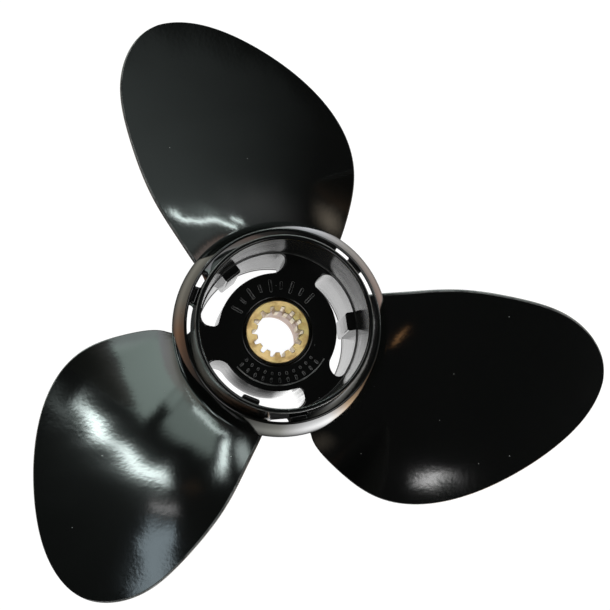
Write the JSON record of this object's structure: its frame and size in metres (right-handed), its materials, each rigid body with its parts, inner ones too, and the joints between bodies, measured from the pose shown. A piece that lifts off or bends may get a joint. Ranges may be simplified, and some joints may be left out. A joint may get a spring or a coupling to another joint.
{
  "type": "outboard motor propeller",
  "caption": "Right-hand outboard propeller with broad black blades, exhaust passages through the hub, a rubber bush and a splined brass sleeve.",
  "frame": {"origin": "on the shaft's axis, in the plane of the barrel's forward rim, on which the propeller stands", "axes": "+Z along the shaft, pointing aft; +X through the middle of one exhaust passage"},
  "size_m": [0.2296, 0.2228, 0.105],
  "materials": {
    "gloss_black_paint": "gloss",
    "black_rubber": "matte",
    "brass": "satin"
  },
  "bodies": {
    "root": {"propeller_casting": "gloss_black_paint", "rubber_bush": "black_rubber", "splined_sleeve": "brass"}
  },
  "joints": []
}
